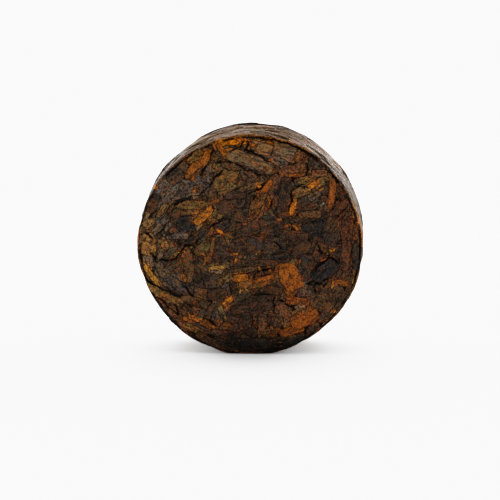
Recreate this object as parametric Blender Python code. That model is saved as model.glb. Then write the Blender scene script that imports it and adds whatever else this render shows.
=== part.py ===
"""A mini tuocha: a small coin of ripe tea leaves, pressed hard in a round mould, standing on its rim.

Metres, +Z up. The coin's axis lies along Y and its shown face looks towards -Y. The origin is the
middle of the flat spot that it stands on. A leaf is laid out on one of three flat charts, the
front face, the wall or the back face, and is then wrapped onto the coin, round its edge too.
"""

import math
import random
from collections import namedtuple

import bmesh
import bpy

# Driving dimensions
MOULD_RADIUS = 0.0150  # the coin with its leaves
MOULD_THICKNESS = 0.0116
EDGE_ROUND = 0.0004  # the corner between a face and the wall
FOOT_RISE = 0.0002  # how far the flat spot cuts into the round
CORE_INSET = 0.00032  # how far the bare core lies under the mould's surface
WEAR_WIDTH = 0.0024  # the lower rim of each face slopes back over this width
WEAR_DEPTH = 0.0005
OUTLINE_WAVES = ((2, 0.0008, 60.0), (3, 0.0020, 115.0), (4, 0.0055, -46.0))  # lobes, share, degrees

# The leaves
LEAF_ROOT = 0.00035  # how far a leaf reaches into the core
LEAF_RISE = (0.00010, 0.00026)  # how far a leaf's middle stands over the core
LEAF_TILT = 0.00010  # how much more than its middle one of its sides may stand out
FOOT_LEAVES = 3  # side by side under the coin, thick enough to fill the flat spot
FOOT_LEAF_LENGTH = 0.0084
FOOT_LEAF_RISE = CORE_INSET
STATION_STEP = 0.0019  # a leaf has a cross-section about this often
FEWEST_STATIONS = 4
END_WIDTH = (0.30, 0.75)  # the width of a broken end, as a share of the leaf's
SIDE_JITTER = 0.10
FULLNESS = 0.5  # the lower, the sooner a leaf reaches its full width
TOP_WIDTH = 0.9  # a leaf's upper side, as a share of its root's width

FRONT_FILLERS = 14
BACK_LEAVES = 42
WALL_LEAVES = 46
LEAF_LENGTH = (0.0046, 0.0084)
LEAF_WIDTH = (0.0021, 0.0036)
LEAF_BEND = 40.0  # degrees, either way
RIM_ZONE = 0.75  # farther out than this share of the radius, a face's leaves follow the rim
RIM_ANGLE = 15.0  # degrees that they may stray from it
RIM_BEND = 18.0
WALL_ANGLE = 14.0
WALL_BEND = 8.0
WALL_STRETCH = 1.2  # the wall's leaves may be this much longer
CANDIDATES = 14  # tries for each leaf, of which the one farthest from the others is taken
SEED = 20

CORE_SEGMENTS = 60
EDGE_STEPS = 3
SHARP_ANGLE = 30.0
CAKE_COLOUR = (0.058, 0.027, 0.013, 1.0)
CAKE_ROUGHNESS = 0.55

Leaf = namedtuple("Leaf", "chart x z length width angle bend rise", defaults=(None,))


def front(x, z, length, width, angle, bend=0.0):
    """A leaf of the shown face, in millimetres from its centre, with its angle from +X."""
    return Leaf("front", x / 1000, z / 1000, length / 1000, width / 1000, angle, bend)


FRONT_LEAVES = (
    front(-0.4, 11.6, 7.2, 2.0, -21),  # the broad flat stem at the top, between two cracks
    front(-2.6, 14.0, 4.4, 1.3, 6),
    front(-6.0, 11.7, 3.2, 1.2, 62, 20),  # the hook, in two pieces
    front(-7.6, 10.2, 3.0, 1.5, 50, -30),
    front(-2.9, 8.7, 4.4, 2.8, 35),
    front(-8.0, 7.6, 6.6, 2.4, 18),
    front(-11.0, 7.0, 3.8, 2.4, 60),
    front(-7.4, 5.4, 4.8, 1.3, 3),
    front(-6.2, 4.0, 3.2, 1.2, 45),
    front(-8.4, 2.9, 2.7, 2.3, 0),
    front(-11.7, 4.0, 5.0, 1.6, 80),
    front(-13.4, 0.2, 3.4, 2.2, 80),
    front(-7.4, 0.9, 7.4, 1.1, 38, -10),  # the long dark stem
    front(1.3, 13.3, 3.2, 1.6, -15),
    front(4.5, 12.6, 3.2, 2.4, -10),
    front(5.6, 10.1, 3.8, 1.5, 15),
    front(1.9, 6.6, 7.2, 2.2, 60, -14),  # the long red leaf
    front(4.5, 6.2, 4.8, 1.7, 80),
    front(7.8, 8.0, 4.6, 1.5, 25),
    front(7.6, 5.9, 3.6, 2.3, 70),
    front(11.0, 7.1, 4.2, 1.2, 82, 30),
    front(12.0, 4.9, 3.4, 1.6, 45),
    front(8.5, 2.3, 3.2, 2.1, 10),
    front(10.1, -3.1, 4.6, 2.3, 42),  # the black lump
    front(5.5, -4.3, 4.0, 2.7, -60),  # the large orange patch, and the band that runs into it
    front(1.3, -4.8, 5.6, 1.6, 12, 24),
    front(6.4, -7.5, 3.2, 1.3, -10),
    front(7.3, -9.9, 4.2, 2.3, 25),
    front(4.4, -9.0, 2.9, 2.4, 80),
    front(1.5, -10.6, 2.8, 1.6, 90),
    front(10.6, -7.0, 4.6, 2.6, 55),
    front(1.0, -7.9, 3.8, 2.4, 20),
    front(-8.4, -2.5, 5.2, 1.9, 95, 34),
    front(-13.3, -4.0, 4.4, 1.2, -52, 12),  # strips that sweep in from the left
    front(-11.4, -6.9, 5.8, 1.4, -27, 14),
    front(-9.3, -5.4, 4.8, 1.4, -34, 10),
    front(-6.2, -10.4, 4.0, 1.3, -25),
    front(-2.9, -7.5, 2.6, 1.7, 35),
    front(-10.4, -10.0, 5.4, 1.3, -46, 22),
    front(-0.5, -13.3, 6.4, 1.7, 0, 24),
    front(0.6, 1.2, 5.6, 2.6, 12),
    front(-3.9, -0.9, 4.2, 2.2, -30),
)


def clear_scene():
    for obj in list(bpy.data.objects):
        bpy.data.objects.remove(obj, do_unlink=True)


def outline_factor(around):
    """The mould isn't quite round: the radius at this angle, as a share of the mean radius."""
    waves = (share * math.cos(lobes * around - math.radians(at)) for lobes, share, at in OUTLINE_WAVES)
    return 1.0 + sum(waves)


def section_point(run):
    """Radius, distance behind the face and outward normal at this run from a face's centre."""
    flat = MOULD_RADIUS - EDGE_ROUND
    quarter = EDGE_ROUND * math.pi / 2
    if run <= flat:
        return run, 0.0, 0.0, -1.0
    if run >= flat + quarter:
        return MOULD_RADIUS, EDGE_ROUND + run - flat - quarter, 1.0, 0.0
    turn = (run - flat) / EDGE_ROUND
    out, back = math.sin(turn), math.cos(turn)
    return flat + EDGE_ROUND * out, EDGE_ROUND * (1.0 - back), out, -back


def wear(radius, around):
    """How far a face slopes back here: only near the lower rim."""
    near_rim = max(0.0, 1.0 - (MOULD_RADIUS - radius) / WEAR_WIDTH)
    lowness = max(0.0, -math.sin(around))
    return WEAR_DEPTH * near_rim**2 * lowness**2


def on_coin(side, run, around, height):
    """The point on the coin, with its centre at the origin: side is -1 for the front half."""
    radius, behind, out, forward = section_point(run)
    radius = (radius + height * out) * outline_factor(around)
    depth = MOULD_THICKNESS / 2 - behind - height * forward
    depth -= wear(radius, around) * (1.0 if depth > 0.0 else 0.0)
    return (radius * math.cos(around), side * depth, radius * math.sin(around))


def from_chart(chart, x, z, height):
    """A chart's point on the coin. The wall's chart has x round the coin and z along its axis."""
    if chart == "wall":
        quarter = EDGE_ROUND * math.pi / 2
        behind = MOULD_THICKNESS / 2 - abs(z)
        run = MOULD_RADIUS - EDGE_ROUND + quarter + behind - EDGE_ROUND
        return on_coin(math.copysign(1.0, z), run, x / MOULD_RADIUS, height)
    side = -1.0 if chart == "front" else 1.0
    return on_coin(side, math.hypot(x, z), math.atan2(z, x), height)


def spine(leaf, along):
    """The chart position and heading at a share of a leaf's length. The spine is one arc."""
    middle = math.radians(leaf.angle)
    turn = math.radians(leaf.bend) * (along - 0.5)
    heading = middle + turn
    chord = leaf.length * (along - 0.5)
    if abs(turn) > 1e-6:
        chord *= math.sin(turn / 2) / (turn / 2)
    mean = middle + turn / 2
    return leaf.x + chord * math.cos(mean), leaf.z + chord * math.sin(mean), heading


def leaf_section(leaf, along, half, rise, tilt):
    """Four corners: the two roots and the two upper edges, which lie a little nearer together."""
    x, z, heading = spine(leaf, along)
    corners = (
        (-1.0, -LEAF_ROOT),
        (1.0, -LEAF_ROOT),
        (TOP_WIDTH, rise + tilt),
        (-TOP_WIDTH, rise - tilt),
    )
    for across, height in corners:
        sideways = across * half
        yield from_chart(
            leaf.chart,
            x - sideways * math.sin(heading),
            z + sideways * math.cos(heading),
            height - CORE_INSET,
        )


def face_outwards(mesh):
    """Turns a closed mesh's faces so that they point out of it."""
    bmesh.ops.recalc_face_normals(mesh, faces=mesh.faces)
    if mesh.calc_volume(signed=True) < 0.0:
        bmesh.ops.reverse_faces(mesh, faces=mesh.faces)


def object_from(mesh, name):
    """A mesh object of its own from a bmesh, which is freed."""
    face_outwards(mesh)
    data = bpy.data.meshes.new(name)
    mesh.to_mesh(data)
    mesh.free()
    return bpy.data.objects.new(name, data)


def skin_rings(mesh, rings):
    """Joins rings of as many corners each with quads, and closes both ends."""
    for here, there in zip(rings, rings[1:]):
        for index in range(len(here)):
            after = (index + 1) % len(here)
            mesh.faces.new((here[index], here[after], there[after], there[index]))
    mesh.faces.new(rings[0][::-1])
    mesh.faces.new(rings[-1])


def make_leaf(leaf, draw):
    """A pressed leaf as a plug: its top lies on the coin and its root is inside the core."""
    mesh = bmesh.new()
    stations = max(FEWEST_STATIONS, round(leaf.length / STATION_STEP) + 1)
    rise, tilt = draw.uniform(*LEAF_RISE), draw.uniform(-LEAF_TILT, LEAF_TILT)
    if leaf.rise is not None:
        rise, tilt = leaf.rise, 0.0
    ends = (draw.uniform(*END_WIDTH), draw.uniform(*END_WIDTH))
    rings = []
    for index in range(stations):
        along = index / (stations - 1)
        end = ends[0] if along < 0.5 else ends[1]
        half = leaf.width / 2 * (end + (1.0 - end) * math.sin(math.pi * along) ** FULLNESS)
        half *= 1.0 + draw.uniform(-SIDE_JITTER, SIDE_JITTER)
        points = leaf_section(leaf, along, half, rise, tilt)
        rings.append([mesh.verts.new(point) for point in points])
    skin_rings(mesh, rings)
    bmesh.ops.triangulate(mesh, faces=mesh.faces)
    return object_from(mesh, "leaf")


def make_core():
    """The bare coin under the leaves: rings from the front face's rim to the back face's."""
    flat = MOULD_RADIUS - EDGE_ROUND
    quarter = EDGE_ROUND * math.pi / 2
    runs = [flat + quarter * step / EDGE_STEPS for step in range(EDGE_STEPS + 1)]
    stops = [(-1.0, run) for run in runs] + [(1.0, run) for run in reversed(runs)]
    mesh = bmesh.new()
    rings = []
    for side, run in stops:
        ring = []
        for index in range(CORE_SEGMENTS):
            around = math.tau * index / CORE_SEGMENTS
            ring.append(mesh.verts.new(on_coin(side, run, around, -CORE_INSET)))
        rings.append(ring)
    skin_rings(mesh, rings)
    return object_from(mesh, "tea_cake")


def place_on_face(chart, taken, draw):
    """One leaf for a face, where it lies farthest from the leaves already there."""
    best, best_gap = None, -1.0
    for _ in range(CANDIDATES):
        radius = (MOULD_RADIUS - LEAF_WIDTH[0] / 2) * math.sqrt(draw.random())
        around = draw.uniform(0.0, math.tau)
        x, z = radius * math.cos(around), radius * math.sin(around)
        gap = min((math.hypot(x - leaf.x, z - leaf.z) for leaf in taken), default=MOULD_RADIUS)
        if gap > best_gap:
            best, best_gap = (x, z, radius, around), gap
    x, z, radius, around = best
    angle = draw.uniform(0.0, 180.0)
    bend = draw.uniform(-LEAF_BEND, LEAF_BEND)
    if radius > RIM_ZONE * MOULD_RADIUS:
        angle = math.degrees(around) + 90.0 + draw.uniform(-RIM_ANGLE, RIM_ANGLE)
        bend = RIM_BEND
    return Leaf(chart, x, z, draw.uniform(*LEAF_LENGTH), draw.uniform(*LEAF_WIDTH), angle, bend)


def place_on_wall(taken, draw):
    """One leaf for the wall, lying round the coin."""
    best, best_gap = None, -1.0
    reach = MOULD_THICKNESS / 2 - LEAF_WIDTH[0] / 2
    girth = math.tau * MOULD_RADIUS
    for _ in range(CANDIDATES):
        x, z = draw.uniform(0.0, girth), draw.uniform(-reach, reach)
        gaps = (math.hypot((x - leaf.x + girth / 2) % girth - girth / 2, z - leaf.z) for leaf in taken)
        gap = min(gaps, default=girth)
        if gap > best_gap:
            best, best_gap = (x, z), gap
    angle = draw.uniform(-WALL_ANGLE, WALL_ANGLE)
    bend = draw.uniform(-WALL_BEND, WALL_BEND)
    length = draw.uniform(LEAF_LENGTH[0], WALL_STRETCH * LEAF_LENGTH[1])
    return Leaf("wall", *best, length, draw.uniform(*LEAF_WIDTH), angle, bend)


def foot_leaves():
    """Wide leaves side by side along the coin's axis, where it stands on its wall."""
    lowest = -math.pi / 2 * MOULD_RADIUS
    share = MOULD_THICKNESS / FOOT_LEAVES
    for index in range(FOOT_LEAVES):
        behind = (index + 0.5) * share - MOULD_THICKNESS / 2
        yield Leaf("wall", lowest, behind, FOOT_LEAF_LENGTH, share, 0.0, 0.0, FOOT_LEAF_RISE)


def all_leaves(draw):
    """The front's own leaves with fillers between them, the back's, the wall's and the foot's."""
    faces = list(FRONT_LEAVES)
    for _ in range(FRONT_FILLERS):
        faces.append(place_on_face("front", faces, draw))
    back = []
    for _ in range(BACK_LEAVES):
        back.append(place_on_face("back", back, draw))
    wall = []
    for _ in range(WALL_LEAVES):
        wall.append(place_on_wall(wall, draw))
    return faces + back + wall + list(foot_leaves())


def join_leaves(cake, leaves):
    """Fuses the leaves to the core with one union, then removes them."""
    held = bpy.data.collections.new("leaves")
    for leaf in leaves:
        held.objects.link(leaf)
    union = cake.modifiers.new("Leaves", "BOOLEAN")
    union.operation = "UNION"
    union.operand_type = "COLLECTION"
    union.collection = held
    apply_modifiers(cake)
    for leaf in leaves:
        bpy.data.objects.remove(leaf, do_unlink=True)
    bpy.data.collections.remove(held)


def linked_shells(mesh):
    """The mesh's faces, one list for each surface that hangs together."""
    left = set(mesh.faces)
    while left:
        shell = []
        reached = [left.pop()]
        while reached:
            face = reached.pop()
            shell.append(face)
            for edge in face.edges:
                for beside in left.intersection(edge.link_faces):
                    left.remove(beside)
                    reached.append(beside)
        yield shell


def keep_outer_shell(cake):
    """Fills the hollows that the union has sealed, and drops loose scraps."""
    mesh = bmesh.new()
    mesh.from_mesh(cake.data)
    shells = sorted(linked_shells(mesh), key=len)
    for shell in shells[:-1]:
        bmesh.ops.delete(mesh, geom=shell, context="FACES")
    mesh.to_mesh(cake.data)
    mesh.free()


def cut_foot(cake):
    """Cuts the flat spot under the coin, through its leaves and its core."""
    foot = -MOULD_RADIUS + FOOT_RISE
    mesh = bmesh.new()
    bmesh.ops.create_cube(mesh, size=1.0)
    for vert in mesh.verts:
        vert.co.x *= 2 * MOULD_RADIUS
        vert.co.y *= 2 * MOULD_THICKNESS
        vert.co.z = foot + (vert.co.z - 0.5) * MOULD_RADIUS
    floor = object_from(mesh, "below_foot")
    bpy.context.scene.collection.objects.link(floor)
    cut = cake.modifiers.new("Foot", "BOOLEAN")
    cut.operation = "DIFFERENCE"
    cut.object = floor
    apply_modifiers(cake)
    bpy.data.objects.remove(floor, do_unlink=True)


def apply_modifiers(obj):
    """Gives the object the mesh that its modifiers make, and drops the modifiers."""
    graph = bpy.context.evaluated_depsgraph_get()
    made = bpy.data.meshes.new_from_object(obj.evaluated_get(graph))
    obj.modifiers.clear()
    obj.data = made


def stand_on_origin(cake):
    """Moves the mesh so that the middle of its box's underside is the origin."""
    corners = [vert.co.copy() for vert in cake.data.vertices]
    lowest = [min(corner[axis] for corner in corners) for axis in range(3)]
    highest = [max(corner[axis] for corner in corners) for axis in range(3)]
    middle = [(low + high) / 2 for low, high in zip(lowest, highest)]
    for vert in cake.data.vertices:
        vert.co.x -= middle[0]
        vert.co.y -= middle[1]
        vert.co.z -= lowest[2]


def tea_material():
    material = bpy.data.materials.new("pressed_tea")
    material.use_nodes = True
    shader = material.node_tree.nodes["Principled BSDF"]
    shader.inputs["Base Color"].default_value = CAKE_COLOUR
    shader.inputs["Roughness"].default_value = CAKE_ROUGHNESS
    shader.inputs["Metallic"].default_value = 0.0
    return material


def main():
    clear_scene()
    draw = random.Random(SEED)
    cake = make_core()
    bpy.context.scene.collection.objects.link(cake)
    join_leaves(cake, [make_leaf(leaf, draw) for leaf in all_leaves(draw)])
    cut_foot(cake)
    keep_outer_shell(cake)
    stand_on_origin(cake)
    cake.data.materials.clear()
    cake.data.materials.append(tea_material())
    cake.data.shade_smooth()
    cake.data.set_sharp_from_angle(angle=math.radians(SHARP_ANGLE))


main()
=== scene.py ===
"""The looks of the mini tuocha: pressed tea leaves over a dark core, on a pale floor.

Lengths are in millimetres until a point is put on the coin, which gives metres in the frame.
A leaf is laid out flat on a chart (the front face, the wall or the back face), wrapped onto the
coin, and draped over the leaves under it. The whole bed is then pressed flat, as the mould does.
"""

import math

import bpy
import numpy as np
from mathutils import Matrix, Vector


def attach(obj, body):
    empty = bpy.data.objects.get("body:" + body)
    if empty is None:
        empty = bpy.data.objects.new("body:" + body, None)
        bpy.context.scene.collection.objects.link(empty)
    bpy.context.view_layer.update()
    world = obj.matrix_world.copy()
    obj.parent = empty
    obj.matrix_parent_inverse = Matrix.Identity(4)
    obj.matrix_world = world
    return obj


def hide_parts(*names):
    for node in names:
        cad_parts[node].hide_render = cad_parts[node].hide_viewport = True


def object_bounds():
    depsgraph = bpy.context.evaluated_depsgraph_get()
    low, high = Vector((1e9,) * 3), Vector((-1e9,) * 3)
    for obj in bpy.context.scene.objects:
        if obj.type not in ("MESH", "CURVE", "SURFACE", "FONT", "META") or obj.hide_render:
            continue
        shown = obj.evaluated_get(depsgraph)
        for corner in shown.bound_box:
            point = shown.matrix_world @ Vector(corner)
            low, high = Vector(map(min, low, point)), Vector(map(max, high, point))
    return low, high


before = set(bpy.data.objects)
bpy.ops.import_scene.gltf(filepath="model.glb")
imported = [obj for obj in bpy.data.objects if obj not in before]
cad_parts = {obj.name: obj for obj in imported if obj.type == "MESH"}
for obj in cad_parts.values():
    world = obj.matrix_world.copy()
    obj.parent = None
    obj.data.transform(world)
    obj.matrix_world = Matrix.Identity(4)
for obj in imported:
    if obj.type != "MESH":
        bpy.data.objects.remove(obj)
cad_low, cad_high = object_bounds()

# The coin, from the frame
MM = 0.001
RADIUS = (cad_high.x - cad_low.x) / 2 / MM
THICKNESS = (cad_high.y - cad_low.y) / MM
CENTRE_Z = (cad_high.z - cad_low.z) / MM - RADIUS
EDGE_ROUND = 0.3
WEAR_WIDTH = 2.4
WEAR_DEPTH = 0.5
OUTLINE_WAVES = ((2, 0.0008, 60.0), (3, 0.0020, 115.0), (4, 0.0055, -46.0))  # lobes, share, degrees
FOOT_SOFTNESS = 0.06  # leaves squashed under the coin keep within this height

FLAT = RADIUS - EDGE_ROUND
QUARTER = EDGE_ROUND * math.pi / 2
SPAN = 2 * (FLAT + QUARTER - EDGE_ROUND) + THICKNESS  # from face centre to face centre, over the wall
GIRTH = math.tau * RADIUS

# The bed of leaves
CELL = 0.1  # the height map's grid
SEED = 20
CONFORM = 0.6  # how far a leaf gives way to a bump under it
DRAPE_PASSES = 8  # smoothing of what a leaf lies on
PRESS = 0.30  # the pressed bed's depth on the faces
WALL_PRESS = 0.80  # and on the wall
SINK = 0.72  # the share of that depth that lies under the coin's surface
FOOT_SHADE_HEIGHTS = (0.6, 4.2)  # the heights between which the painted shade at the foot, where the floor shades the lowest leaves, ends
FOOT_SHADE_DARKEST = 0.22
BACK_SHADE = 0.45  # painted shade: the far face is darker than the shown one, against the strong light from behind
BACK_SHADE_SPAN = (-1.5, -0.2)  # from here to here, inwards from its rim, so still on the wall
HOLLOW_DEPTH = 0.10  # painted shade and dark dust: a spot this far under its surroundings is painted fully dark
HOLLOW_PASSES = 14  # smoothing that gives those surroundings
NEARBY_PASSES = 50  # and the colour of the leaves around a spot
SKIRT = 0.07  # how far a leaf's underside reaches into what it lies on
LISTED_STEP = 0.11  # the mesh of the leaves listed below
BASE_STEP = 0.23  # and of the scattered ones: the lowest, those on them, and scraps
UPPER_STEP = 0.18
SCRAP_STEP = 0.12
STRAIGHT = 1e-4  # leaves that turn less than this, in radians a millimetre, are straight
NARROW = 0.8  # narrower leaves have finer edges
LEAST_SEEN = 22  # leaves that show in fewer cells are dropped
CORE_STEP = 0.4
CORE_DEPTH = 0.10  # the bare core, under the bed
CORE_ROUGH = 0.04
CRACK_DEPTH = 0.14
CRACK_WIDTH = 0.14
CRACK_REACH = 1.0  # cracks are measured no farther than this

# Tints as seen, in sRGB, and the piece that each belongs to
TINTS = {
    "char": ((37, 31, 29), "slate_leaves"),
    "slate": ((73, 60, 54), "slate_leaves"),
    "umber": ((54, 38, 29), "umber_leaves"),
    "bark": ((70, 49, 34), "brown_leaves"),
    "bronze": ((92, 55, 22), "brown_leaves"),
    "chestnut": ((88, 52, 31), "chestnut_leaves"),
    "russet": ((70, 38, 22), "chestnut_leaves"),
    "olive": ((94, 69, 37), "olive_leaves"),
    "tan": ((124, 88, 46), "olive_leaves"),
    "taupe": ((98, 74, 54), "flat_stems"),
    "rust": ((122, 63, 8), "golden_buds"),
    "gold": ((172, 96, 12), "golden_buds"),
    "straw": ((184, 130, 50), "golden_buds"),
    # pale scraps put where light glints: painted highlights
    "pale_glint": ((150, 138, 122), "flat_stems"),
}
TINT_GAIN = np.array([0.73, 0.76, 0.74])  # from a tint as seen to the leaf's own colour
TINT_SPREAD = 0.11  # how far leaves of one tint differ in lightness
TINT_WARMTH = np.array([0.07, 0.0, -0.12])  # and in warmth

# Shared leaf colours and finish
GOLD_FLECK = (0.2, 0.076, 0.007, 1.0)
DARK_SPOT = (0.009, 0.0065, 0.005, 1.0)
# near-black painted shade for gaps, cracks and hollows
GAP_SHADE = (0.003, 0.002, 0.0015, 1.0)
CORE_BROWN = (0.026, 0.017, 0.011, 1.0)
# the core on the wall is lighter, like the wall's dust and painted sheen
CORE_DUST_AND_SHEEN_GAIN = (2.2, 2.2, 2.2)
PALE_GAIN = (1.60, 1.48, 1.25)  # what a full mottle adds to a leaf's colour, and takes from it
DIM_LOSS = (0.98, 0.99, 0.99)
LEAF_ROUGHNESS = (0.42, 0.65)
LEAF_GLOSS = 0.12
LEAF_IOR = 1.45
LEAF_BUMP = 0.00022
CORE_BUMP = 0.00015
# the wall's pale colour: partly its dust, partly painted sheen of the bright backdrop at grazing angles
WALL_DUST_AND_SHEEN = (0.112, 0.086, 0.060, 1.0)
WALL_DUST_AND_SHEEN_SHARES = (0.10, 0.50)  # the share of dust and painted sheen, along the rim and away from it
TOP_HEIGHTS = (0.024, 0.029)  # metres; over these the dust and painted sheen are browner, with less sheen painted on the top, and the gloss less
TOP_DUST_AND_SHEEN = (0.125, 0.068, 0.026, 1.0)
TOP_GLOSS = 0.015
# a painted golden highlight along the rim's edge
RIM_HIGHLIGHT = (0.23, 0.09, 0.012, 1.0)
RIM_HIGHLIGHT_SIDES = (-0.007, -0.002)  # metres; the rim's painted golden highlight is fainter on the left

# Each piece's mottle, warmth, coolness, gold flecks, dark spots and fibre streaks
LOOKS = {
    "slate_leaves": (0.88, 0.80, 0.48, 0.50, 0.50, 0.40),
    "umber_leaves": (0.88, 0.80, 0.70, 0.50, 0.50, 0.40),
    "brown_leaves": (0.88, 0.80, 0.70, 0.80, 0.60, 0.40),
    "chestnut_leaves": (0.88, 0.60, 0.60, 0.90, 0.70, 0.40),
    "olive_leaves": (0.88, 0.60, 0.60, 0.90, 0.70, 0.40),
    "flat_stems": (0.60, 0.55, 0.40, 0.35, 0.30, 1.20),
    "golden_buds": (0.70, 0.30, 0.12, 0.40, 0.70, 0.35),
}

# Measured on the photograph: the shown face's centre and its scale there
PHOTO_SIDE = 500
FACE_CENTRE_PX = (250.15, 246.0)
FACE_RADIUS_PX = 112.4
CAMERA_AZIMUTH = 2.15
CAMERA_ELEVATION = 10.2
CAMERA_DISTANCE = 0.43
SENSOR = 36.0

# The studio: the sky's strength all over, what the top and the back add, and its strength below
SKY_PLAIN = 0.78
SKY_TOP = 2.4
SKY_BACK = 7.8
SKY_BELOW = 0.06
SKY_SEEN = 2.0
HORIZON = (-0.06, 0.02)
FLOOR_SIDE = 3.0
FLOOR_COLOUR = (0.84, 0.84, 0.845, 1.0)
WHITEST = (2.0, 2.0)  # the three colours' own curves stay straight up to here
WHITE_CURVE = (
    (0.0, 0.0), (0.70, 0.70), (0.85, 0.813), (1.0, 0.876), (1.25, 0.925), (1.6, 0.9475), (2.0, 0.9535),
)

# The leaves below are x, z, length, width, angle, bend unless it is 0, and tint.
# These fill gaps under the next list's
FRONT_FILLS = (
    (3.0, 2.3, 3.6, 2.2, 30, "umber"), (-2.6, 2.6, 3.0, 2.0, 40, "umber"),
    (-1.2, -7.0, 3.0, 2.2, 20, "umber"), (9.4, -4.2, 3.0, 2.4, 40, "umber"),
    (2.6, 10.4, 2.6, 1.8, 10, "chestnut"), (-1.7, -0.4, 3.4, 2.0, 10, "umber"),
    (-1.1, 0.8, 2.2, 1.2, 30, "umber"), (-4.9, -4.9, 2.8, 1.8, 20, "umber"),
    (-0.7, -5.3, 2.4, 1.3, 0, "bark"), (8.5, 3.9, 2.8, 1.4, 8, "umber"),
    (8.9, 0.4, 2.2, 1.4, 70, "umber"), (8.8, -5.8, 2.2, 1.6, 30, "umber"),
    (12.6, -3.5, 2.8, 1.9, 80, "bark"), (-1.9, -9.9, 3.4, 1.6, 10, "umber"),
    (-2.1, -11.1, 2.2, 1.3, 0, "umber"), (6.5, 3.4, 2.2, 1.6, 20, "umber"),
    (9.8, 5.8, 2.2, 1.6, 60, "umber"), (14.0, 2.0, 2.4, 1.4, 90, "russet"),
    (11.4, -4.0, 2.4, 1.6, 60, "umber"), (-5.2, -2.0, 2.2, 1.6, 20, "umber"),
    (5.2, -0.5, 2.6, 1.8, 0, "umber"), (8.6, -6.9, 2.2, 1.4, 20, "bark"),
    (6.2, 8.4, 2.2, 1.4, 20, "umber"), (4.1, -1.6, 2.6, 1.4, 10, "char"),
    (2.1, -1.7, 2.2, 1.2, 0, "umber"), (0.6, -3.8, 1.8, 1.0, 10, "umber"),
    (8.5, -11.2, 2.2, 1.2, 38, "umber"), (9.9, -9.6, 2.0, 1.2, 45, "umber"),
    (-7.1, -9.2, 1.2, 0.8, 0, "bark"), (-1.5, -2.3, 2.6, 1.2, 5, "umber"),
    (-5.8, -9.5, 2.4, 1.4, -20, "umber"), (-11.0, 2.7, 1.8, 1.2, 60, "slate"),
)

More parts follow.
